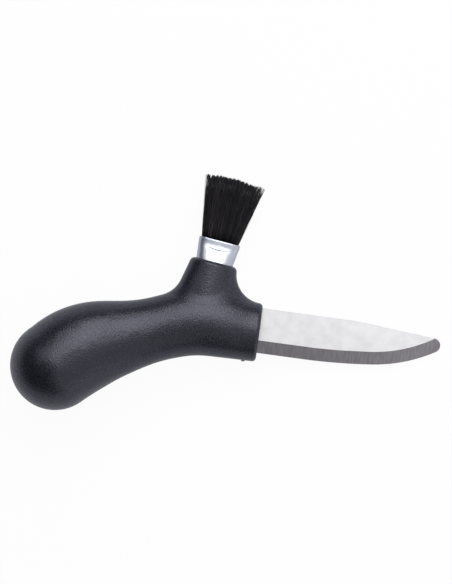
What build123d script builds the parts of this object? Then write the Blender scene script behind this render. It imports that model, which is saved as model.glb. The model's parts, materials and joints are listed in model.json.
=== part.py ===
from build123d import *
from math import asin, atan2, cos, degrees, hypot, pi, radians, sin, sqrt, tan
import os

os.makedirs("parts", exist_ok=True)

# A fixed-blade mushroom knife: a bevelled steel blade, a one-piece moulded handle with a
# round bulb at its end, and a small flat brush set into a collar on the handle's back.
# It is drawn with X along the blade, Y towards the brush and Z through the thickness,
# centred on the blade's mid-plane. The last step lays it on its side. Lengths are in
# millimetres, angles in degrees.

# Blade sizes
blade_length = 75.8
blade_width = 17.5
blade_thickness = 2.0
edge_thickness = 0.12
bevel_width = 4.95
straight_edge = 18.0
first_belly_radius = 235.0
first_belly_turn = 6.6
clip_start = 37.0
clip_angle = 4.6
clip_blend_radius = 60.0
tip_radius = 2.8

# Tang sizes
stock_thickness = 2.2
shoulder_depth = 3.5
tang_length = 48.0
tang_root_width = 9.0
tang_end_width = 7.0
tang_drop = 2.5
tang_corner_radius = 1.2
lock_hole = 4.0
lock_hole_shares = [0.4, 0.8]

# Handle sizes
handle_span = 77.2
bulb_drop = 24.2
bulb_radius = 17.5
bulb_slope = 42.2
nose_height = 22.8
nose_width = 18.0
nose_bevel = 0.8
grip_stations = 28
grip_arcs = 12
# Points of the handle's centre line from the nose to the bulb's centre: the shares of the
# span and of the drop, then the shares of the growth in height and in width
centre_shares = [
    (0, 0.035, 0, 0),
    (0.155, -0.004, 0.2, 0.11),
    (0.3, -0.016, 0.3, 0.18),
    (0.44, 0.107, 0.215, 0.2),
    (0.545, 0.235, 0.21, 0.24),
    (0.675, 0.393, 0.48, 0.4),
    (0.8, 0.548, 0.845, 0.69),
    (0.94, 0.823, 1.022, 0.935),
    (1, 1, 1, 1),
]

# Collar sizes, where the handle rises to carry the brush
collar_setback = 21.04
collar_height = 24.13
collar_length = 18.2
collar_width = 14.6
collar_depth = 24.0
collar_length_draft = 11.0
collar_width_draft = 3.0
collar_blend_radius = 11.0
collar_bevel = 1.0
collar_arcs = 8
brush_lean = 6.8

# Ferrule sizes
ferrule_reach = 8.5
ferrule_depth = 8.5
ferrule_mouth_length = 16.0
ferrule_mouth_width = 7.0
ferrule_wall = 0.3
ferrule_straight = 2.2
bead_height = 0.8
bead_depth = 0.15
ferrule_panels = 10
merge_share = 0.001
seat_clearance = 0.1

# Bristle sizes
bristle_root = 7.7
backing_thickness = 1.0
bristle_reach = 32.6
brush_tip_length = 24.5
brush_tip_width = 8.4
strand_width = 0.34
strand_tip_share = 0.7
strand_columns = 40
strand_rows = 9
strand_sides = 3
row_offset_share = 0.5
ragged_share = 0.05

# The pose on the floor, from a roll chosen so that the knife's weight is over its supports
lying_roll = -0.1

# One overrun for every cut
overrun = 2.0

half_width = blade_width / 2
half_thickness = blade_thickness / 2


# Blade


def edge_curves():
    """The cutting edge, from the handle to the point where it would meet the clip."""
    straight = Line((0, -half_width), (straight_edge, -half_width))
    first = JernArc(straight @ 1, straight % 1, first_belly_radius, first_belly_turn)
    second = TangentArc(first @ 1, sharp_tip(), tangent=first % 1)
    return straight, first, second


def sharp_tip():
    """The point on the clip line at the blade's length, before the tip is rounded."""
    fall = tan(radians(clip_angle)) * (blade_length - clip_start)
    return (blade_length, half_width - fall)


def blade_outline():
    spine = Line((0, half_width), (clip_start, half_width))
    clip = Line(spine @ 1, sharp_tip())
    heel = Line((0, -half_width), (0, half_width))
    outline = make_face([*edge_curves(), clip, spine, heel])
    by_length = outline.vertices().sort_by(Axis.X)
    outline = fillet(by_length[-1], tip_radius)
    corner = outline.vertices().sort_by_distance((clip_start, half_width))[0]
    return fillet(corner, clip_blend_radius)


def bevel_wedge():
    """The steel ground away on one side, swept along the cutting edge."""
    slope = (half_thickness - edge_thickness / 2) / bevel_width
    outer = edge_thickness / 2 - slope * overrun
    inner = half_thickness + slope * overrun
    corners = [(-overrun, outer), (bevel_width + overrun, inner), (-overrun, inner)]
    wedge = Polygon(*corners, align=None)
    start = Plane(origin=(0, -half_width, 0), x_dir=(0, 1, 0), z_dir=(1, 0, 0))
    return sweep(start * wedge, path=Wire([curve.edge() for curve in edge_curves()]))


def tang():
    """The hidden part of the blade: full-width shoulders, then a stick with lock holes."""
    shoulders = Pos(-shoulder_depth / 2, 0) * Rectangle(shoulder_depth, blade_width)
    corners = [
        (-shoulder_depth, tang_root_width / 2),
        (-tang_length, tang_end_width / 2),
        (-tang_length, -tang_end_width / 2),
        (-shoulder_depth, -tang_root_width / 2),
    ]
    stick = Polygon(*corners, align=None)
    stick = fillet(stick.vertices().group_by(Axis.X)[0], tang_corner_radius)
    shape = shoulders + Pos(0, -tang_drop) * stick
    for share in lock_hole_shares:
        shape -= Pos(-tang_length * share, -tang_drop) * Circle(lock_hole / 2)
    return extrude(shape, stock_thickness / 2, both=True)


def make_blade():
    blank = extrude(blade_outline(), half_thickness, both=True)
    wedge = bevel_wedge()
    return blank - wedge - mirror(wedge, about=Plane.XY) + tang()


# Handle


def station_curves():
    """Two curves along the centre line; their heights carry the half height and width."""
    places = [(-handle_span * along, -bulb_drop * down) for along, down, _, _ in centre_shares]
    tall = bulb_radius - nose_height / 2
    wide = bulb_radius - nose_width / 2
    halves = [nose_height / 2 + tall * share for _, _, share, _ in centre_shares]
    sides = [nose_width / 2 + wide * share for _, _, _, share in centre_shares]
    level = Vector(-1, 0, 0)
    down = Vector(-1, 0, 0).rotate(Axis.Z, bulb_slope)
    curves = []
    for sizes in (halves, sides):
        points = [(x, y, size) for (x, y), size in zip(places, sizes)]
        curves.append(Spline(*points, tangents=[level, down]))
    return curves


def oval_face(plane, half_first, half_second, arc_count):
    """An ellipse in equal arcs, which split a loft through such faces into equal patches."""
    turn = 360 / arc_count
    arcs = []
    for number in range(arc_count):
        start = number * turn
        arcs.append(Edge.make_ellipse(half_first, half_second, plane, start, start + turn))
    return Face(Wire(arcs))


def make_grip():
    """The handle's body: a loft through ovals, closed by the round bulb."""
    height_curve, width_curve = station_curves()
    sections = []
    for number in range(grip_stations + 1):
        share = number / grip_stations
        place = height_curve @ share
        ahead = height_curve % share
        across = (width_curve @ share).Z
        plane = Plane((place.X, place.Y, 0), x_dir=(0, 0, 1), z_dir=(ahead.X, ahead.Y, 0))
        sections.append(oval_face(plane, across, place.Z, grip_arcs))
    bulb = plane * Sphere(bulb_radius, arc_size1=0, align=(Align.CENTER, Align.CENTER, Align.MIN))
    return loft(sections) + bulb


def brush_plane(reach):
    """A plane across the brush, at a distance outwards from the collar's rim."""
    along = Vector(1, 0, 0).rotate(Axis.Z, -brush_lean)
    outwards = Vector(0, 1, 0).rotate(Axis.Z, -brush_lean)
    rim = Vector(-collar_setback, collar_height, 0)
    return Plane(rim + outwards * reach, x_dir=along, z_dir=outwards)


def make_collar():
    grow_length = collar_depth * tan(radians(collar_length_draft))
    grow_width = collar_depth * tan(radians(collar_width_draft))
    half_length = collar_length / 2
    half_side = collar_width / 2
    root_plane = brush_plane(-collar_depth)
    root = oval_face(root_plane, half_length + grow_length, half_side + grow_width, collar_arcs)
    rim = oval_face(brush_plane(0), half_length, half_side, collar_arcs)
    return loft([root, rim], ruled=True)


def make_handle(blade, ferrule_seat):
    grip = make_grip()
    collar = make_collar()
    handle = grip + collar
    handle = fillet(new_edges(grip, collar, combined=handle), collar_blend_radius)
    rim = handle.faces().sort_by_distance(brush_plane(0).origin)[0]
    handle = chamfer(rim.edges(), collar_bevel)
    nose = handle.faces().sort_by(Axis.X)[-1]
    handle = chamfer(nose.edges(), nose_bevel)
    return handle - blade - ferrule_seat


# Brush


def flat_sided(sections):
    """A solid with flat sides through rings of corners; corners may meet in one point."""
    faces = [Face(Wire.make_polygon(sections[0])), Face(Wire.make_polygon(sections[-1]))]
    for lower, upper in zip(sections, sections[1:]):
        for number in range(len(lower)):
            corners = [lower[number - 1], lower[number], upper[number], upper[number - 1]]
            if (lower[number] - lower[number - 1]).length < merge_share * ferrule_wall:
                corners = [lower[number], upper[number], upper[number - 1]]
            faces.append(Face(Wire.make_polygon(corners)))
    return Solid(Shell(faces))


def ferrule_section(reach, flatness, grow):
    """The ferrule's panelled outline: round at flatness zero, flat at one, of one girth."""
    flat = (ferrule_mouth_length - ferrule_mouth_width) * flatness
    girth = 2 * (ferrule_mouth_length - ferrule_mouth_width) + pi * ferrule_mouth_width
    radius = (girth / 2 - flat) / pi + grow
    plane = brush_plane(reach)
    corners = []
    for end in (1, -1):
        for number in range(ferrule_panels + 1):
            angle = (pi / 2) * (1 - 2 * number / ferrule_panels)
            corner = Vector(flat / 2 + radius * cos(angle), radius * sin(angle))
            corners.append(plane.from_local_coords(corner * end))
    return corners


def ferrule_form(grow):
    """The ferrule's form, round below and flat above, grown or shrunk all round."""
    sections = [
        ferrule_section(-ferrule_depth, 0, grow),
        ferrule_section(ferrule_reach - ferrule_straight, 1, grow),
        ferrule_section(ferrule_reach, 1, grow),
    ]
    return flat_sided(sections)


def bead():
    """The crimped bead round the ferrule, near its mouth."""
    middle = ferrule_reach - ferrule_straight / 2
    sections = [
        ferrule_section(middle - bead_height / 2, 1, 0),
        ferrule_section(middle, 1, bead_depth),
        ferrule_section(middle + bead_height / 2, 1, 0),
    ]
    return flat_sided(sections)


def make_ferrule():
    return ferrule_form(0) + bead() - ferrule_form(-ferrule_wall)


def brush_slice(low, high):
    """What fills the ferrule between two heights above the collar's rim."""
    side = ferrule_mouth_length + overrun
    block = Box(side, side, high - low, align=(Align.CENTER, Align.CENTER, Align.MIN))
    block = brush_plane(low) * block
    return ferrule_form(-ferrule_wall - seat_clearance) & block


def strand_places():
    """The strands' roots in staggered rows, kept inside the mouth's rounded ends."""
    inset = ferrule_wall + seat_clearance + strand_width / 2
    radius = ferrule_mouth_width / 2 - inset
    half_flat = (ferrule_mouth_length - ferrule_mouth_width) / 2
    step_along = 2 * (half_flat + radius) / strand_columns
    step_across = 2 * radius / (strand_rows - 1)
    places = []
    for row in range(strand_rows):
        across = -radius + step_across * row
        room = half_flat + sqrt(max(radius**2 - across**2, 0))
        offset = row_offset_share * (row % 2 + row_offset_share)
        for column in range(strand_columns):
            along = step_along * (column - strand_columns / 2 + offset)
            if abs(along) <= room:
                places.append((along, across))
    return places


def strand_corners(reach, along, across, size):
    """One strand's corners in a plane across the brush."""
    plane = brush_plane(reach)
    corners = []
    for side in range(strand_sides):
        turn = 2 * pi * side / strand_sides
        corner = (along + size / 2 * cos(turn), across + size / 2 * sin(turn))
        corners.append(plane.from_local_coords(corner))
    return corners


def make_bristles():
    backing = brush_slice(bristle_root - backing_thickness, bristle_root).solid()
    root_reach = bristle_root - backing_thickness / 2
    spread_along = brush_tip_length / (ferrule_mouth_length - 2 * ferrule_wall)
    spread_across = brush_tip_width / (ferrule_mouth_width - 2 * ferrule_wall)
    tip_width = strand_tip_share * strand_width
    strands = []
    for number, (along, across) in enumerate(strand_places()):
        # The golden section spreads the shortfalls evenly without a pattern
        shortfall = ragged_share * ((number * (sqrt(5) - 1) / 2) % 1)
        reach = bristle_reach * (1 - shortfall)
        root = strand_corners(root_reach, along, across, strand_width)
        tip = strand_corners(reach, along * spread_along, across * spread_across, tip_width)
        strands.append(flat_sided([root, tip]))
    print("strands", len(strands))
    return backing.fuse(*strands)


# Assembly


def lying_place(pieces):
    """The turn and move that lay the knife on its side, on its bulb and its nose."""
    run = handle_span - nose_bevel
    drop = nose_width / 2
    pitch = degrees(asin(bulb_radius / hypot(run, drop)) - atan2(drop, run))
    turned = Rot(X=lying_roll) * Rot(Y=pitch)
    boxes = [(turned * piece).bounding_box() for piece in pieces]
    low = [min(values) for values in zip(*(tuple(box.min) for box in boxes))]
    high = [max(values) for values in zip(*(tuple(box.max) for box in boxes))]
    return Pos(-(low[0] + high[0]) / 2, -(low[1] + high[1]) / 2, -low[2]) * turned


def main():
    blade = make_blade()
    ferrule = make_ferrule()
    parts = {
        "blade": blade,
        "handle": make_handle(blade, ferrule_form(seat_clearance)),
        "ferrule": ferrule,
        "bristle_setting": brush_slice(-ferrule_depth, bristle_root - backing_thickness),
        "bristles": make_bristles(),
    }
    place = lying_place(list(parts.values()))
    for name, shape in parts.items():
        export_step(place * shape, f"parts/{name}.step")


main()
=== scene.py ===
import json
from collections import namedtuple
from math import atan2, cos, pi, radians, sin, sqrt, tan

import bmesh
import bpy
import numpy as np
from mathutils import Matrix, Vector
from mathutils.bvhtree import BVHTree


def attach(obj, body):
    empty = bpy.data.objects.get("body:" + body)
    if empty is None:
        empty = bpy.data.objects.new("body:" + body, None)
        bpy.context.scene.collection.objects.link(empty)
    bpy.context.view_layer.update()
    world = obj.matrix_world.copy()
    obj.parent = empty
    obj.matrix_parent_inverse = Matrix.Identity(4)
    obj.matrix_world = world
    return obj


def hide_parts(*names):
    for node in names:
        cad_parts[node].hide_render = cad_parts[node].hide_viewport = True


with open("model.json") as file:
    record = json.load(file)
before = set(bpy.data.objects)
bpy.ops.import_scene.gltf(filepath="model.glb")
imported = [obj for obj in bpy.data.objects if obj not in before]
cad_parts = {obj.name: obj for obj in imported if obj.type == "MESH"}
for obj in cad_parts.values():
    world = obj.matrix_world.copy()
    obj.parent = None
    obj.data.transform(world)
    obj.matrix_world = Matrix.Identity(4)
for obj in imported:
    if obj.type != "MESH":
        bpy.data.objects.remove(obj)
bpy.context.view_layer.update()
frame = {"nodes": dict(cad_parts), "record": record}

# The drawing's own frame has X along the blade, Y towards the brush and Z through the
# thickness, in millimetres from the point where the blade's middle leaves the handle.
# Two mounts of the record place it in the shared frame. Angles are in degrees.
MM = 0.001
BLADE_LENGTH = 75.8

mounts = {mount["name"]: mount for mount in frame["record"]["mounts"]}
along = Vector(mounts["blade_in_sheath"]["axis"]).normalized()
outward = Vector(mounts["blade_flat"]["axis"]).normalized()
upward = outward.cross(along)
origin = Vector(mounts["blade_in_sheath"]["pos_m"]) - along * (BLADE_LENGTH / 2 * MM)
TURN = Matrix((along, upward, outward)).transposed()
PLACE = Matrix.Translation(origin) @ TURN.to_4x4() @ Matrix.Scale(MM, 4)

# The brush's frame within the drawing: along its width, across it, and outwards from the rim
BRUSH_LEAN = 6.8
RIM_PLACE = Vector((-21.04, 24.13, 0))
BRUSH_ALONG = Vector((cos(radians(BRUSH_LEAN)), -sin(radians(BRUSH_LEAN)), 0))
BRUSH_OUT = Vector((sin(radians(BRUSH_LEAN)), cos(radians(BRUSH_LEAN)), 0))
BRUSH_ACROSS = BRUSH_OUT.cross(BRUSH_ALONG)

# The picture: its turn, its height in pixels, a pixel's size and its middle in the drawing
PICTURE_TURN = 7.8
PICTURE_HEIGHT = 584
PIXEL = 0.39
PICTURE_MIDDLE = Vector((-15.0, 13.15, 0))

# The studio, in metres, with the camera's sensor in millimetres
CAMERA_DISTANCE = 1.2
CAMERA_RANGE = (0.05, 20)
SENSOR_WIDTH = 36
LAMP_DISTANCE = 0.75
FLOOR_HALF = 4.0

# How much the floor glows, and how much of that glow shows in reflections
FLOOR_GLOW = 0.95
FLOOR_MIRRORED = 0.35

# How far down the bright wall's direction leans for each step to the right
WALL_SLANT = 0.7

# How near the split points of a CAD node's mesh lie to each other
WELD = 0.0005

# Handle
NOSE_ROUND = 1.4
RIM_ROUND = 1.6
ROUND_STEPS = 7
SEAT_GAP = 0.12
SEAT_LIP = 0.25
SEAT_LIP_ARC_SHARE = 0.3
SEAT_DEPTH = 1.6
PARTING_HALF_WIDTH = 0.05
PARTING_EDGE = 0.2

# Gate mark
GATE_PLACE = Vector((-4.9, -12.35, 0))
GATE_SLANT = 0.06
GATE_RADIUS = 0.75
GATE_HEIGHT = 0.45
GATE_SIDES = 20
GATE_RINGS = 6
GATE_STEP = 16

# Blade, with the turns between faces that are merged, eased as a corner or shaded as an edge
SPINE_SOFTNESS = 0.5
SPINE_SEGMENTS = 4
MERGE_TURN = 0.3
CORNER_TURN = 60
EDGE_TURN = 8

# Where the blade is well past the handle, and how near a plane counts as on it
PAST_HANDLE = 1
CLOSE = 0.01

# How squarely the blade's faces look to its side, the ground ones less than the flats
GROUND_FACING = 0.9845
FLAT_FACING = 0.9885
SQUARE_FACING = 0.9999

# Ferrule, round at its foot and flat from the flat reach to its mouth
MOUTH_LENGTH = 16.0
MOUTH_WIDTH = 7.0
MOUTH_HALF_FLAT = (MOUTH_LENGTH - MOUTH_WIDTH) / 2
GIRTH = 2 * (MOUTH_LENGTH - MOUTH_WIDTH) + pi * MOUTH_WIDTH
FERRULE_DEPTH = 8.5
FLAT_REACH = 6.3
SHEET = 0.3
FERRULE_STEPS = 24

# Reaches, measured from the rim, of the ferrule's plain rings below its crease
FERRULE_FOOT = [-FERRULE_DEPTH, -1, 1, 3, 4]

# Reach and growth of the sheet's outside, from the crease to the lip at the mouth
FERRULE_MOUTH = [
    (5.8, 0.01),
    (6.1, 0.03),
    (6.5, 0.06),
    (7.0, 0.095),
    (7.5, 0.13),
    (7.8, 0.15),
    (8.0, 0.155),
    (8.15, 0.145),
    (8.3, 0.11),
    (8.42, 0.05),
    (8.49, -0.03),
    (8.5, -0.1),
]

# The crease below the ferrule's mouth, a shallow line that sags towards the rim
CREASE_REACH = 5.4
CREASE_HALF_LENGTH = 5.5
CREASE_HALF_WIDTH = 0.32
CREASE_SAG = 0.8
CREASE_DEPTH = 0.16
CREASE_STEPS = 18

# Strands, and the field with round ends that they grow from
STRANDS = 3000
STRAND_RADIUS = 0.068
STRAND_RADIUS_SHARES = (0.8, 1.15)
STRAND_TAPER_SHARE = 0.45
STRAND_RINGS = 6
STRAND_SIDES = 3
STRAND_ROOT = 7.0
STRAND_REACH = 33.0
ROOT_HALF_FLAT = 4.3
ROOT_RADIUS = 2.8
ROOT_HALF_LENGTH = ROOT_HALF_FLAT + ROOT_RADIUS
SEED = 11

# Steps that fill a square most evenly: the plastic number's inverse, and that squared
EVEN_STEPS = (0.7548776662, 0.5698402910)

# The fan: its spread as shares of the roots' places, and the pull of the clumps
TIP_SPREAD_ALONG = 1.66
TIP_SPREAD_ACROSS = 1.45
TIP_SCATTER = 0.2
CLUMPS = 110
CLUMP_PULL_SHARES = (0.05, 0.5)
BOW = 0.16

# The brush's cut end: a low dome that slopes down towards the blade's side, uneven by
# strand, clump and tooth, with a higher corner and a notch on the other side
END_SLOPE = 0.25
END_DOME = 1.15
STRAND_UNEVEN = 0.2
CLUMP_UNEVEN = 0.17
TOOTH_UNEVEN = (-0.4, 0.1)
TOOTH_WIDTH = 0.55
TEETH = 100
TEETH_START = -20
CORNER_SHARE = 0.93
CORNER_LIFT = 0.15
NOTCH_PLACE = -9.9
NOTCH_HALF_WIDTH = 0.22
NOTCH_DEPTH = 0.9

# Wear: the frayed side next to the blade, broken strands on the other side, and strays
FRAY_SHARE = 0.7
FRAY_CHANCE = 0.6
FRAY_CUT = (0.6, 2.6)
FRAY_GROWTH = 0.4
FRAY_UNEVEN = 0.35
FRAY_SCATTER = 0.45
BROKEN_SHARE = 0.85
BROKEN_CHANCE = 0.3
BROKEN_CUT = (3, 16)
STRAY_CHANCE = 0.008
STRAY_SCATTER = 0.8
# How few strands are bright, their brightness partly a painted highlight
TONE_POWER = 2.2

# The slice of resin that holds the strands
RESIN_TOP = 7.7
RESIN_FOOT = 6.7
RESIN_GAP = 0.05
RESIN_SIDES = 64


# Camera


def picture_axes():
    """The picture's right and up directions in the shared frame."""
    turn = radians(PICTURE_TURN)
    right = TURN @ Vector((cos(turn), sin(turn), 0))
    up = TURN @ Vector((-sin(turn), cos(turn), 0))
    return right, up


def make_camera():
    """A long lens square to the blade, framed as in the photo."""
    target = PLACE @ PICTURE_MIDDLE
    right, up = picture_axes()
    data = bpy.data.cameras.new("camera")
    data.sensor_width = SENSOR_WIDTH
    data.lens = SENSOR_WIDTH * CAMERA_DISTANCE / (PICTURE_HEIGHT * PIXEL * MM)
    data.clip_start, data.clip_end = CAMERA_RANGE
    camera = bpy.data.objects.new("camera", data)
    bpy.context.scene.collection.objects.link(camera)
    axes = Matrix((right, up, outward)).transposed().to_4x4()
    camera.matrix_world = Matrix.Translation(target + outward * CAMERA_DISTANCE) @ axes
    bpy.context.scene.camera = camera


# Lights and floor


def make_softbox(name, place, half_angles, radiance):
    """A panel of light aimed at the knife, placed and sized in degrees off the camera's axis."""
    right, up = picture_axes()
    target = PLACE @ PICTURE_MIDDLE
    swing, lift = place
    tilt = radians(sqrt(swing**2 + lift**2))
    aside = (right * swing + up * lift).normalized()
    direction = outward * cos(tilt) + aside * sin(tilt)
    size = [2 * LAMP_DISTANCE * tan(radians(angle)) for angle in half_angles]
    data = bpy.data.lights.new(name, "AREA")
    data.shape = "RECTANGLE"
    data.size, data.size_y = size
    data.energy = radiance * pi * size[0] * size[1]
    lamp = bpy.data.objects.new(name, data)
    bpy.context.scene.collection.objects.link(lamp)
    lamp.location = target + direction * LAMP_DISTANCE
    across = (right - direction * right.dot(direction)).normalized()
    axes = Matrix((across, direction.cross(across), direction)).transposed()
    lamp.rotation_euler = axes.to_euler()
    lamp.visible_camera = False


def wall_color(tree, direction):
    """A dim room's colour by direction, white low down at the lower right."""
    height = node(tree, "SeparateXYZ", {"Vector": direction}).outputs["Z"]
    bright_stops = [
        (0.1, (0.93, 0.93, 1)),
        (0.13, (0.195, 0.198, 0.24)),
        (0.5, (0.07, 0.071, 0.088)),
    ]
    dark_stops = [
        (0.0, (0.37, 0.375, 0.45)),
        (0.12, (0.068, 0.07, 0.09)),
    ]
    bright = ramp(tree, height, *bright_stops)
    dark = ramp(tree, height, *dark_stops)
    right, up = picture_axes()
    toward = dot(tree, direction, (right - up * WALL_SLANT).normalized())
    return blend(tree, span(tree, toward, -0.4, 0.2, 0, 1), dark, bright)


def make_world():
    """A dim room that the camera itself sees as white."""
    world = bpy.data.worlds.new("studio")
    world.use_nodes = True
    tree = world.node_tree
    walls = wall_color(tree, node(tree, "TexCoord").outputs["Generated"])
    white = node(tree, "RGB")
    white.outputs[0].default_value = (1, 1, 1, 1)
    path = node(tree, "LightPath")
    seen = blend(tree, path.outputs["Is Camera Ray"], walls, white.outputs[0])
    tree.links.new(seen, tree.nodes["Background"].inputs["Color"])
    bpy.context.scene.world = world


def floor_material():
    """Pale grey to the lamps, nearly white to the camera, and partly so in reflections."""
    material = bpy.data.materials.new("floor")
    material.use_nodes = True
    tree = material.node_tree
    tree.nodes.clear()
    plain = node(tree, "BsdfDiffuse", Color=(0.65, 0.66, 0.75, 1))
    white = node(tree, "BsdfDiffuse", Color=(1, 1, 1, 1))
    glow = node(tree, "Emission", Color=(1, 1, 1, 1))
    seen = node(tree, "MixShader", {1: white.outputs[0], 2: glow.outputs[0]}, Fac=FLOOR_GLOW)
    path = node(tree, "LightPath")
    direct = compute(tree, "MAXIMUM", path.outputs["Is Camera Ray"], path.outputs["Is Transmission Ray"])
    mirrored = compute(tree, "MULTIPLY", path.outputs["Is Glossy Ray"], FLOOR_MIRRORED)
    view = compute(tree, "MAXIMUM", direct, mirrored)
    mix = node(tree, "MixShader", {0: view, 1: plain.outputs[0], 2: seen.outputs[0]})
    node(tree, "OutputMaterial", {"Surface": mix.outputs[0]})
    return material


def make_floor():
    """A floor that looks white and still takes the knife's faint shadow."""
    side = FLOOR_HALF
    mesh = bpy.data.meshes.new("floor")
    corners = [(-side, -side, 0), (side, -side, 0), (side, side, 0), (-side, side, 0)]
    mesh.from_pydata(corners, [], [(0, 1, 2, 3)])
    mesh.materials.append(floor_material())
    floor = bpy.data.objects.new("floor", mesh)
    bpy.context.scene.collection.objects.link(floor)


# Shader nodes


def node(tree, kind, links=None, operation=None, **values):
    """A new shader node with its constants set and its inputs linked."""
    made = tree.nodes.new("ShaderNode" + kind)
    if operation:
        made.operation = operation
    for name, value in values.items():
        made.inputs[name.replace("_", " ")].default_value = value
    for name, socket in (links or {}).items():
        tree.links.new(socket, made.inputs[name])
    return made


def compute(tree, operation, first, second=0):
    """The result of an operation on two values, each a socket or a number."""
    made = node(tree, "Math", operation=operation)
    for number, value in enumerate((first, second)):
        if isinstance(value, (int, float)):
            made.inputs[number].default_value = value
        else:
            tree.links.new(value, made.inputs[number])
    return made.outputs[0]


def dot(tree, vector, axis):
    """How far a vector points along a fixed axis."""
    made = node(tree, "VectorMath", {0: vector}, operation="DOT_PRODUCT")
    made.inputs[1].default_value = axis
    return made.outputs["Value"]


def ramp(tree, socket, *stops):
    """A colour ramp; each stop is a position and a colour."""
    made = node(tree, "ValToRGB", {"Fac": socket})
    elements = made.color_ramp.elements
    while len(elements) < len(stops):
        elements.new(0.5)
    for element, (position, color) in zip(elements, stops):
        element.position = position
        element.color = (*color, 1)
    return made.outputs["Color"]


def span(tree, socket, start, end, low, high):
    """A value's range from start to end, mapped to the range from low to high."""
    made = node(tree, "MapRange", {"Value": socket})
    for name, value in (("From Min", start), ("From Max", end), ("To Min", low), ("To Max", high)):
        made.inputs[name].default_value = value
    return made.outputs["Result"]


def blend(tree, share, first, second, kind="MIX"):
    """A mix of two colours by a share, which is a socket or a number."""
    made = tree.nodes.new("ShaderNodeMix")
    made.data_type = "RGBA"
    made.blend_type = kind
    if isinstance(share, (int, float)):
        made.inputs[0].default_value = share
    else:
        tree.links.new(share, made.inputs[0])
    tree.links.new(first, made.inputs[6])
    tree.links.new(second, made.inputs[7])
    return made.outputs[2]


def noise(tree, vector, scale, detail=2.0, stretch=(1, 1, 1)):
    """Noise with features of about one over the scale, in millimetres."""
    moved = node(tree, "VectorMath", {0: vector}, operation="MULTIPLY")
    moved.inputs[1].default_value = stretch
    made = node(tree, "TexNoise", {"Vector": moved.outputs[0]}, Scale=scale, Detail=detail)
    return made.outputs["Fac"]


def bump(tree, height, strength, distance, normal=None):
    """A bump of a height in metres, over another bump's normal if there is one."""
    made = node(tree, "Bump", {"Height": height}, Strength=strength, Distance=distance)
    if normal is not None:
        tree.links.new(normal, made.inputs["Normal"])
    return made.outputs["Normal"]


def new_material(name, **constants):
    """A material, its nodes, its shader, and the drawing's coordinates in millimetres."""
    material = bpy.data.materials.new(name)
    material.use_nodes = True
    tree = material.node_tree
    shader = tree.nodes["Principled BSDF"]
    for key, value in constants.items():
        shader.inputs[key.replace("_", " ")].default_value = value
    place = node(tree, "TexCoord")
    mapping = node(tree, "Mapping", {"Vector": place.outputs["Object"]})
    mapping.inputs["Location"].default_value = PLACE.inverted().to_translation()
    mapping.inputs["Rotation"].default_value = TURN.transposed().to_euler()
    mapping.inputs["Scale"].default_value = (1 / MM, 1 / MM, 1 / MM)
    return material, tree, shader, mapping.outputs["Vector"]


def brush_vector(tree, vector):
    """The drawing's coordinates turned and moved to the brush: X along its width, Y outwards."""
    made = node(tree, "Mapping", {"Vector": vector})
    made.inputs["Location"].default_value = (-RIM_PLACE.dot(BRUSH_ALONG), -RIM_PLACE.dot(BRUSH_OUT), 0)
    made.inputs["Rotation"].default_value = (0, 0, radians(BRUSH_LEAN))
    return made.outputs["Vector"]


# Materials


def handle_material():
    """Blue-black moulded plastic with a fine eroded grain, a speckled colour whose brightest specks are
    painted glints, and a faint parting line.
    """
    material, tree, shader, vector = new_material("moulded_plastic", IOR=1.5)
    shader.inputs["Specular IOR Level"].default_value = 0.72
    shader.inputs["Specular Tint"].default_value = (0.83, 0.83, 1.0, 1)
    grain = noise(tree, vector, 1.6, 2.0)
    grain_normal = bump(tree, grain, 1.0, 0.00011)
    height = node(tree, "SeparateXYZ", {"Vector": vector}).outputs["Z"]
    off_line = compute(tree, "ABSOLUTE", height)
    line = span(tree, off_line, PARTING_HALF_WIDTH, PARTING_EDGE, 1, 0)
    normal = bump(tree, line, 0.6, 0.00006, grain_normal)
    tree.links.new(normal, shader.inputs["Normal"])
    cloud = noise(tree, vector, 0.1, 4.0)
    specks_and_glints = compute(tree, "ADD", noise(tree, vector, 2.0, 3.0), compute(tree, "MULTIPLY", cloud, 0.2))
    # Speckled tone from dark to bright; the bright top stop paints the grain's glints into the colour
    stops = [
        (0.42, (0.0025, 0.0025, 0.004)),
        (0.6, (0.0076, 0.0075, 0.0115)),
        (0.8, (0.027, 0.0265, 0.034)),
    ]
    tree.links.new(ramp(tree, specks_and_glints, *stops), shader.inputs["Base Color"])
    rough = span(tree, grain, 0.35, 0.65, 0.25, 0.35)
    tree.links.new(rough, shader.inputs["Roughness"])
    return material


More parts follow.
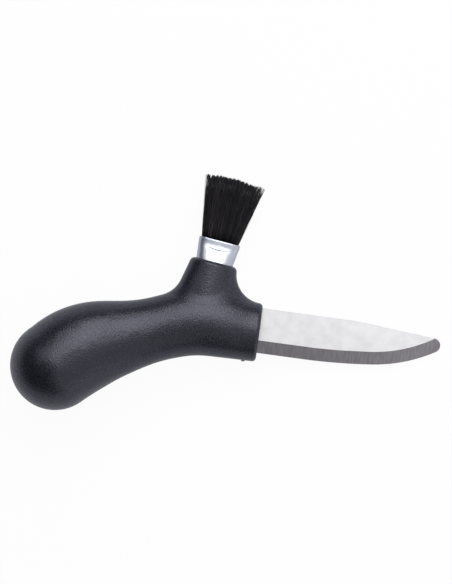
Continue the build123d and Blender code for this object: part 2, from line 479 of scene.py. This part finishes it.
def steel_material():
    """Pale cloudy flats, and ground faces with lines across the edge, darker in colour, partly their own
    tone and partly painted shade for the dim room that they reflect.
    """
    material, tree, shader, vector = new_material("blade_steel", Metallic=1.0)
    facing = dot(tree, node(tree, "TexCoord").outputs["Normal"], outward)
    ground = span(tree, compute(tree, "ABSOLUTE", facing), GROUND_FACING, FLAT_FACING, 1, 0)

    cloud = noise(tree, vector, 0.25, 5.0)
    flat = ramp(tree, cloud, (0.34, (0.72, 0.71, 0.722)), (0.62, (0.79, 0.784, 0.793)))
    lines = noise(tree, vector, 1.3, 3.0, (1, 0.03, 1))
    # The ground faces' darker colour: partly their own tone, partly painted shade for the dim room that
    # they reflect
    cut = ramp(tree, lines, (0.35, (0.29, 0.273, 0.294)), (0.65, (0.37, 0.351, 0.373)))
    tree.links.new(blend(tree, ground, flat, cut), shader.inputs["Base Color"])

    flat_rough = span(tree, noise(tree, vector, 0.4, 1.0), 0.35, 0.65, 0.36, 0.41)
    cut_rough = span(tree, lines, 0.35, 0.65, 0.34, 0.4)
    change = compute(tree, "SUBTRACT", cut_rough, flat_rough)
    rough = compute(tree, "ADD", flat_rough, compute(tree, "MULTIPLY", change, ground))
    tree.links.new(rough, shader.inputs["Roughness"])

    fine = compute(tree, "MULTIPLY", lines, compute(tree, "MULTIPLY", ground, 0.25))
    skin = compute(tree, "MULTIPLY", noise(tree, vector, 0.5, 0.0), 0.2)
    normal = bump(tree, compute(tree, "ADD", fine, skin), 0.5, 0.00001)
    tree.links.new(normal, shader.inputs["Normal"])
    return material


def ferrule_material():
    """Bright plated sheet, slightly dented, with fine scratches in its gloss."""
    material, tree, shader, vector = new_material("plated_sheet", Metallic=1.0)
    vector = brush_vector(tree, vector)
    cloud = noise(tree, vector, 0.6, 5.0)
    color = ramp(tree, cloud, (0.35, (0.53, 0.56, 0.63)), (0.65, (0.6, 0.625, 0.68)))
    tree.links.new(color, shader.inputs["Base Color"])
    scratches = noise(tree, vector, 2.0, 4.0, (0.3, 1, 0.3))
    tree.links.new(span(tree, scratches, 0.35, 0.65, 0.36, 0.42), shader.inputs["Roughness"])
    dents = bump(tree, noise(tree, vector, 0.3, 0.0), 0.5, 0.0003)
    tree.links.new(dents, shader.inputs["Normal"])
    return material


def hair_material():
    """Near-black filaments, each with its own random tone, the brightest few painted with a highlight,
    and a waxy shine.
    """
    material, tree, shader, vector = new_material("bristle_hair", IOR=1.5)
    vector = brush_vector(tree, vector)
    tone_and_glint = node(tree, "Attribute")
    tone_and_glint.attribute_name = "tone_and_glint"
    # Tone by strand; the bright top stop paints highlights onto a few strands
    stops = [
        (0.0, (0.004, 0.0036, 0.0056)),
        (0.6, (0.014, 0.012, 0.017)),
        (1.0, (0.09, 0.076, 0.088)),
    ]
    color = ramp(tree, tone_and_glint.outputs["Fac"], *stops)
    streaks = noise(tree, vector, 1.2, 3.0, (1, 0.08, 1))
    darker = ramp(tree, streaks, (0.35, (0.6, 0.58, 0.58)), (0.65, (1, 1, 1)))
    tree.links.new(blend(tree, 1, color, darker, "MULTIPLY"), shader.inputs["Base Color"])
    tree.links.new(span(tree, streaks, 0.3, 0.7, 0.32, 0.45), shader.inputs["Roughness"])
    return material


def resin_material():
    """Hard brown setting resin with a slightly uneven gloss."""
    material, tree, shader, vector = new_material("setting_resin", IOR=1.5)
    cloud = noise(tree, vector, 0.8, 4.0)
    color = ramp(tree, cloud, (0.35, (0.03, 0.02, 0.012)), (0.65, (0.06, 0.042, 0.026)))
    tree.links.new(color, shader.inputs["Base Color"])
    tree.links.new(span(tree, cloud, 0.3, 0.7, 0.2, 0.35), shader.inputs["Roughness"])
    tree.links.new(bump(tree, cloud, 0.4, 0.0001), shader.inputs["Normal"])
    return material


def dress(obj, material):
    """Gives a CAD node its material."""
    obj.data.materials.clear()
    obj.data.materials.append(material)


# Meshes


class Skin:
    """Points, normals and faces that grow ring by ring."""

    def __init__(self, points=(), normals=(), faces=()):
        self.points = list(points)
        self.normals = list(normals)
        self.faces = list(faces)

    def ring(self, points, normals=()):
        """Adds a ring of points and gives their numbers."""
        first = len(self.points)
        self.points.extend(points)
        self.normals.extend(normals)
        return list(range(first, len(self.points)))

    def join(self, old, new):
        """Quads between two rings of as many points."""
        for number in range(len(old)):
            self.faces.append((old[number - 1], old[number], new[number], new[number - 1]))

    def cap(self, ring):
        """One face over a whole ring."""
        self.faces.append(tuple(ring))


def place_piece(mesh, material):
    """Puts a finished mesh on the knife as a piece of the same name."""
    mesh.materials.append(material)
    piece = bpy.data.objects.new(mesh.name, mesh)
    bpy.context.scene.collection.objects.link(piece)
    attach(piece, "root")
    return piece


def add_piece(name, skin, material):
    """A smooth piece made in the drawing's frame, with the skin's own normals if it has them."""
    mesh = bpy.data.meshes.new(name)
    mesh.from_pydata(skin.points, [], skin.faces)
    mesh.transform(PLACE)
    mesh.shade_smooth()
    if skin.normals:
        mesh.normals_split_custom_set_from_vertices([TURN @ normal for normal in skin.normals])
    return place_piece(mesh, material)


def drawn_copy(name):
    """A CAD node's mesh in the drawing's frame, with its split points joined again."""
    copy = bmesh.new()
    copy.from_mesh(frame["nodes"][name].data)
    copy.transform(PLACE.inverted())
    bmesh.ops.remove_doubles(copy, verts=copy.verts, dist=WELD)
    return copy


def exact_normals(name):
    """A function that gives a CAD node's own surface normal nearest to a point."""
    mesh = frame["nodes"][name].data
    to_drawing = PLACE.inverted()
    back = TURN.transposed()
    points = [to_drawing @ vertex.co for vertex in mesh.vertices]
    triangles = [tuple(polygon.vertices) for polygon in mesh.polygons]
    corners = [
        [back @ mesh.corner_normals[index].vector for index in polygon.loop_indices]
        for polygon in mesh.polygons
    ]
    tree = BVHTree.FromPolygons(points, triangles)

    def normal_at(point):
        place, flat, index, _ = tree.find_nearest(point)
        a, b, c = (points[number] for number in triangles[index])
        whole = (b - a).cross(c - a)
        shares = [
            (c - b).cross(place - b).dot(whole),
            (a - c).cross(place - c).dot(whole),
            (b - a).cross(place - a).dot(whole),
        ]
        # A trace of the flat normal keeps the sum from being zero in a sliver
        mixed = flat * 1e-9
        for share, normal in zip(shares, corners[index]):
            mixed += normal * share
        return mixed.normalized()

    return normal_at


def open_loops(mesh):
    """The mesh's open edges as closed rings of vertices, in the order that new faces need."""
    ahead = {}
    for edge in mesh.edges:
        if edge.is_boundary:
            loop = edge.link_loops[0]
            ahead[loop.link_loop_next.vert] = loop.vert
    rings = []
    while ahead:
        first, vertex = ahead.popitem()
        ring = [first]
        while vertex is not first:
            ring.append(vertex)
            vertex = ahead.pop(vertex)
        rings.append(ring)
    return rings


def keep_largest(mesh):
    """Deletes all but the largest of a mesh's separate shells."""
    left = set(mesh.faces)
    shells = []
    while left:
        front = [left.pop()]
        shell = set(front)
        while front:
            face = front.pop()
            near = {other for edge in face.edges for other in edge.link_faces} & left
            left -= near
            shell |= near
            front.extend(near)
        shells.append(shell)
    largest = max(shells, key=lambda shell: sum(face.calc_area() for face in shell))
    rest = [face for face in mesh.faces if face not in largest]
    bmesh.ops.delete(mesh, geom=rest, context="FACES")


# The outline that the ferrule and its seat share


def brush_point(side, across, reach):
    """A point of the brush's frame in the drawing."""
    return RIM_PLACE + BRUSH_ALONG * side + BRUSH_ACROSS * across + BRUSH_OUT * reach


def ferrule_spot(reach, growth, turn):
    """Where a spoke at a turn meets the ferrule's outline, and the outline's normal there."""
    flatness = min((reach + FERRULE_DEPTH) / (FLAT_REACH + FERRULE_DEPTH), 1)
    half_flat = MOUTH_HALF_FLAT * flatness
    radius = (GIRTH / 2 - 2 * half_flat) / pi + growth
    cosine = cos(turn)
    sine = sin(turn)
    sign = 1 if sine > 0 else -1
    side = radius * cosine / abs(sine) if abs(sine) > 1e-6 else float("inf")
    if abs(side) <= half_flat:
        return side, radius * sign, BRUSH_ACROSS * sign
    length = half_flat * abs(cosine) + sqrt(max(radius**2 - (half_flat * sine) ** 2, 0))
    side = length * cosine
    across = length * sine
    middle = half_flat if cosine > 0 else -half_flat
    normal = (BRUSH_ALONG * (side - middle) + BRUSH_ACROSS * across).normalized()
    return side, across, normal


# Handle

# A flat end of the moulding: where its round starts, the way it faces and the round's depth
End = namedtuple("End", "place facing depth")


def cut_moulding(ends):
    """The solid's mesh, without what lies past the places where the ends' rounds start."""
    mould = drawn_copy("handle")
    for end in ends:
        geometry = [*mould.verts, *mould.edges, *mould.faces]
        bmesh.ops.bisect_plane(
            mould, geom=geometry, plane_co=end.place, plane_no=end.facing, clear_outer=True
        )
    keep_largest(mould)
    mould.verts.index_update()
    return mould


def round_over(skin, ring, end):
    """Rolls an open ring over to a flat end, with each arc tangent to the skin."""
    starts = [skin.points[index] for index in ring]
    sides = [skin.normals[index] for index in ring]
    for step in range(1, ROUND_STEPS + 1):
        turned = [side.slerp(end.facing, step / ROUND_STEPS) for side in sides]
        points = [
            start + (now - side) * (end.depth / (1 - side.dot(end.facing)))
            for start, side, now in zip(starts, sides, turned)
        ]
        new = skin.ring(points, turned)
        skin.join(ring, new)
        ring = new
    return ring


def sink_seat(skin, ring):
    """The rim's flat ring, and the lip and wall of the seat that the ferrule stands in."""
    turns = []
    for index in ring:
        spoke = skin.points[index] - RIM_PLACE
        turns.append(atan2(spoke.dot(BRUSH_ACROSS), spoke.dot(BRUSH_ALONG)))
    # Growth past the seat's wall, depth below the rim and tilt of the surface
    middle = SEAT_LIP * SEAT_LIP_ARC_SHARE
    steps = [
        (SEAT_LIP, 0, 0),
        (middle, middle, 45),
        (0, SEAT_LIP, 90),
        (0, SEAT_DEPTH, 90),
    ]
    for growth, depth, tilt in steps:
        points = []
        normals = []
        for turn in turns:
            side, across, facing = ferrule_spot(0, SEAT_GAP + growth, turn)
            points.append(brush_point(side, across, -depth))
            normals.append(BRUSH_OUT * cos(radians(tilt)) - facing * sin(radians(tilt)))
        new = skin.ring(points, normals)
        skin.join(ring, new)
        ring = new
    skin.cap(ring)


def make_handle(material):
    """The moulding, with its nose and rim rounded over in place of the solid's bevels."""
    nose = End(Vector((-NOSE_ROUND, 0, 0)), Vector((1, 0, 0)), NOSE_ROUND)
    rim = End(brush_point(0, 0, -RIM_ROUND), BRUSH_OUT, RIM_ROUND)
    mould = cut_moulding((nose, rim))
    normal_at = exact_normals("handle")
    points = [vertex.co.copy() for vertex in mould.verts]
    faces = [tuple(vertex.index for vertex in face.verts) for face in mould.faces]
    skin = Skin(points, [normal_at(point) for point in points], faces)
    for vertices in open_loops(mould):
        ring = [vertex.index for vertex in vertices]
        middle = sum((points[index] for index in ring), Vector()) / len(ring)
        end = min((nose, rim), key=lambda end: abs((middle - end.place).dot(end.facing)))
        ring = round_over(skin, ring, end)
        if end is rim:
            sink_seat(skin, ring)
        else:
            skin.cap(ring)
    mould.free()
    piece = add_piece("handle_moulding", skin, material)
    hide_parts("handle")


def make_gate_mark(material):
    """The small stub left under the nose where the plastic was let in."""
    skin = Skin()
    down = Vector((GATE_SLANT, -1, 0)).normalized()
    side = Vector((1, GATE_SLANT, 0)).normalized()
    depth = Vector((0, 0, 1))
    rings = []
    for step in range(GATE_RINGS):
        angle = radians(GATE_STEP * step)
        points = []
        normals = []
        for number in range(GATE_SIDES):
            turn = 2 * pi * number / GATE_SIDES
            spoke = side * cos(turn) + depth * sin(turn)
            points.append(GATE_PLACE + spoke * GATE_RADIUS * cos(angle) + down * GATE_HEIGHT * sin(angle))
            normals.append((spoke * cos(angle) + down * sin(angle)).normalized())
        rings.append(skin.ring(points, normals))
    for low, high in zip(rings, rings[1:]):
        skin.join(low, high)
    skin.cap(list(reversed(rings[0])))
    skin.cap(rings[-1])
    add_piece("gate_mark", skin, material)


# Blade


def spine_corners(steel):
    """The sharp corners where the flats meet the spine, outside the handle."""
    half = max(vertex.co.z for vertex in steel.verts if vertex.co.x > PAST_HANDLE)
    corners = []
    for edge in steel.edges:
        level = min(abs(vertex.co.z) for vertex in edge.verts) > half - CLOSE
        outside = min(vertex.co.x for vertex in edge.verts) > -CLOSE
        if level and outside and edge.calc_face_angle(0) > radians(CORNER_TURN):
            corners.append(edge)
    return corners


def shade_steel(steel, rounded):
    """Smooth shading over rounded faces and gentle turns, and clean edges along the flats."""
    for edge in steel.edges:
        inside = all(face in rounded for face in edge.link_faces)
        beside_flat = any(abs(face.normal.z) > SQUARE_FACING for face in edge.link_faces)
        gentle = not beside_flat and edge.calc_face_angle(0) < radians(EDGE_TURN)
        edge.smooth = inside or gentle
    for face in steel.faces:
        face.smooth = True


def make_blade(material):
    """The blade, with the corners of its spine eased."""
    steel = drawn_copy("blade")
    bmesh.ops.dissolve_limit(steel, angle_limit=radians(MERGE_TURN), verts=steel.verts, edges=steel.edges)
    eased = bmesh.ops.bevel(
        steel,
        geom=spine_corners(steel),
        offset=SPINE_SOFTNESS,
        offset_type="OFFSET",
        segments=SPINE_SEGMENTS,
        profile=0.5,
        affect="EDGES",
        clamp_overlap=True,
    )
    shade_steel(steel, set(eased["faces"]))
    steel.transform(PLACE)
    mesh = bpy.data.meshes.new("blade_steel")
    steel.to_mesh(mesh)
    steel.free()
    piece = place_piece(mesh, material)
    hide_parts("blade")


# Ferrule


def crease_depth(reach, side, across):
    """How far the sheet is pressed in at a point by the crease on its front."""
    share = abs(side) / CREASE_HALF_LENGTH
    if share > 1 or across > 0:
        return 0
    path = CREASE_REACH - CREASE_SAG * (1 - share**2)
    off = abs(reach - path) / CREASE_HALF_WIDTH
    return CREASE_DEPTH * max(1 - off, 0) * sqrt(1 - share)


def ferrule_turns():
    """Turns round the ferrule, each flat and each end in as many steps."""
    corner = atan2(MOUTH_WIDTH / 2, MOUTH_HALF_FLAT)
    turns = []
    for end in range(2):
        for step in range(FERRULE_STEPS):
            turns.append(end * pi + corner * (2 * step / FERRULE_STEPS - 1))
        for step in range(FERRULE_STEPS):
            turns.append(end * pi + corner + (pi - 2 * corner) * step / FERRULE_STEPS)
    return turns


def ferrule_ring(skin, reach, growth):
    """A ring of the ferrule, pressed in where the crease passes."""
    points = []
    for turn in ferrule_turns():
        side, across, normal = ferrule_spot(reach, growth, turn)
        points.append(brush_point(side, across, reach) - normal * crease_depth(reach, side, across))
    return skin.ring(points)


def make_ferrule(material):
    """The sheet-metal tube, pressed flat at its mouth, with a lip and a crease."""
    low = CREASE_REACH - CREASE_SAG - CREASE_HALF_WIDTH
    high = CREASE_REACH + CREASE_HALF_WIDTH
    creased = [low + (high - low) * step / CREASE_STEPS for step in range(CREASE_STEPS + 1)]
    profile = [(reach, 0) for reach in FERRULE_FOOT + creased] + FERRULE_MOUTH
    skin = Skin()
    rings = [ferrule_ring(skin, reach, growth) for reach, growth in profile]
    rings += [ferrule_ring(skin, reach, growth - SHEET) for reach, growth in reversed(profile)]
    for number in range(len(rings)):
        skin.join(rings[number - 1], rings[number])
    piece = add_piece("ferrule_sheet", skin, material)
    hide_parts("ferrule")


# Brush


def even_points(count):
    """Points spread evenly over the unit square, without a grid."""
    numbers = np.arange(count)
    return np.stack([(0.5 + numbers * step) % 1 for step in EVEN_STEPS], axis=1)


def tuft_roots(count):
    """Even points within the ferrule's mouth, as far along and across."""
    spots = (even_points(count * 2) * 2 - 1) * (ROOT_HALF_LENGTH, ROOT_RADIUS)
    past = np.maximum(np.abs(spots[:, 0]) - ROOT_HALF_FLAT, 0)
    inside = spots[past**2 + spots[:, 1] ** 2 <= ROOT_RADIUS**2]
    return inside[:count]


def strand_tips(random, roots, centres):
    """Where strands of full reach end, drawn together towards the middles of their clumps."""
    lean = roots + (centres - roots) * random.uniform(*CLUMP_PULL_SHARES, (len(roots), 1))
    tips = lean * (TIP_SPREAD_ALONG, TIP_SPREAD_ACROSS)
    return tips + random.normal(0, TIP_SCATTER, tips.shape)


def strand_reaches(random, share, tips, clump, clumps):
    """How far the strands reach, for the shape of the brush's cut end."""
    dome = STRAND_REACH - END_SLOPE * share - END_DOME * share**2
    reach = dome + random.normal(0, STRAND_UNEVEN, len(share))
    reach += random.normal(0, CLUMP_UNEVEN, clumps)[clump]
    tooth = ((tips[:, 0] - TEETH_START) / TOOTH_WIDTH).astype(int)
    reach += random.uniform(*TOOTH_UNEVEN, TEETH)[tooth]
    reach += CORNER_LIFT * (share < -CORNER_SHARE)
    reach[np.abs(tips[:, 0] - NOTCH_PLACE) < NOTCH_HALF_WIDTH] -= NOTCH_DEPTH
    return reach


def fray(random, share, tips, reach):
    """Frays the side next to the blade, where some strands end short and the rest spread out."""
    frayed = share > FRAY_SHARE
    short = frayed & (random.random(len(share)) < FRAY_CHANCE * share)
    reach[short] -= random.uniform(*FRAY_CUT, short.sum())
    long = frayed & ~short
    reach[long] += random.normal(FRAY_GROWTH, FRAY_UNEVEN, long.sum())
    tips[long] += random.normal(0, FRAY_SCATTER, (long.sum(), 2))


def break_strands(random, share, reach):
    """Breaks some strands off short on the side away from the blade."""
    broken = (share < -BROKEN_SHARE) & (random.random(len(share)) < BROKEN_CHANCE)
    reach[broken] -= random.uniform(*BROKEN_CUT, broken.sum())


def scatter(random, tips):
    """Turns a few strands anywhere in the brush out of their places."""
    stray = random.random(len(tips)) < STRAY_CHANCE
    tips[stray] += random.normal(0, STRAY_SCATTER, (stray.sum(), 2))


def strand_middles(random, roots, tips, reach, steps):
    """The middles of each bowed strand's rings, as places along and across, and reaches."""
    bow = random.normal(0, BOW, roots.shape)
    cut = (reach - STRAND_ROOT) / (STRAND_REACH - STRAND_ROOT)
    ends = roots + (tips - roots) * cut[:, None]
    straight = roots[:, None] * (1 - steps) + ends[:, None] * steps
    places = straight + bow[:, None] * 4 * steps * (1 - steps)
    reaches = STRAND_ROOT + (reach[:, None, None] - STRAND_ROOT) * steps
    return places, reaches


def strand_points(random, places, reaches, steps):
    """The corners of the rings, each strand with its own thickness and thinner at its tip."""
    each = (len(places), 1, 1)
    taper = 1 - STRAND_TAPER_SHARE * steps**2
    radius = STRAND_RADIUS * random.uniform(*STRAND_RADIUS_SHARES, each) * taper
    spin = random.uniform(0, 2 * pi, each)
    turns = spin + np.arange(STRAND_SIDES)[None, None] * 2 * pi / STRAND_SIDES
    side = places[:, :, 0:1] + radius * np.cos(turns)
    across = places[:, :, 1:2] + radius * np.sin(turns)
    out = np.broadcast_to(reaches, side.shape)
    axes = np.array([BRUSH_ALONG, BRUSH_ACROSS, BRUSH_OUT])
    points = np.stack([side, across, out], axis=-1) @ axes + np.array(RIM_PLACE)
    return [Vector(point) for point in points.reshape(-1, 3)]


def strand_faces(count):
    """Each strand's root, its sides and its tip."""
    faces = []
    block = STRAND_RINGS * STRAND_SIDES
    for first in range(0, count * block, block):
        faces.append(tuple(reversed(range(first, first + STRAND_SIDES))))
        for ring in range(first, first + block - STRAND_SIDES, STRAND_SIDES):
            for corner in range(STRAND_SIDES):
                here = ring + corner
                after = ring + (corner + 1) % STRAND_SIDES
                faces.append((here, after, after + STRAND_SIDES, here + STRAND_SIDES))
        faces.append(tuple(range(first + block - STRAND_SIDES, first + block)))
    return faces


def resin_ring(skin, reach):
    """A ring of the resin, just inside the ferrule."""
    points = []
    for number in range(RESIN_SIDES):
        side, across, _ = ferrule_spot(reach, -SHEET - RESIN_GAP, 2 * pi * number / RESIN_SIDES)
        points.append(brush_point(side, across, reach))
    return skin.ring(points)


def add_resin(skin):
    """A slice of resin round the strands' roots."""
    low = resin_ring(skin, RESIN_FOOT)
    top = resin_ring(skin, RESIN_TOP)
    skin.join(low, top)
    skin.cap(top)
    skin.cap(list(reversed(low)))


def make_tuft(material):
    """Thousands of fine strands that fan out of the resin in loose clumps."""
    random = np.random.default_rng(SEED)
    roots = tuft_roots(STRANDS)
    centres = tuft_roots(CLUMPS)
    clump = np.linalg.norm(roots[:, None] - centres[None], axis=2).argmin(axis=1)
    share = roots[:, 0] / ROOT_HALF_LENGTH
    tips = strand_tips(random, roots, centres[clump])
    reach = strand_reaches(random, share, tips, clump, len(centres))
    fray(random, share, tips, reach)
    break_strands(random, share, reach)
    scatter(random, tips)

    steps = np.linspace(0, 1, STRAND_RINGS)[None, :, None]
    places, reaches = strand_middles(random, roots, tips, reach, steps)
    points = strand_points(random, places, reaches, steps)
    # Each strand's random tone; the brightest few carry painted highlights
    tone_and_glint = np.repeat(random.random(len(roots)) ** TONE_POWER, STRAND_RINGS * STRAND_SIDES).tolist()
    skin = Skin(points, faces=strand_faces(len(roots)))
    add_resin(skin)
    piece = add_piece("tuft", skin, material)
    values = piece.data.attributes.new("tone_and_glint", "FLOAT", "POINT")
    tone_and_glint += [0.0] * (len(skin.points) - len(tone_and_glint))
    values.data.foreach_set("value", tone_and_glint)
    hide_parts("bristles")


# The scene

bpy.context.scene.view_settings.view_transform = "Standard"
make_camera()
make_softbox("key_softbox", place=(2, 38), half_angles=(18, 27), radiance=2.8)
make_softbox("low_card", place=(0, 2), half_angles=(17, 11), radiance=0.45)
make_softbox("left_card", place=(-33, 27), half_angles=(13, 17), radiance=0.92)
make_softbox("right_softbox", place=(40, -6), half_angles=(42, 58), radiance=0.58)
make_softbox("right_card", place=(32, 14), half_angles=(16, 14), radiance=0.7)
make_world()
make_floor()

plastic = handle_material()
make_handle(plastic)
make_gate_mark(plastic)
make_blade(steel_material())
make_ferrule(ferrule_material())
make_tuft(hair_material())
dress(frame["nodes"]["bristle_setting"], resin_material())
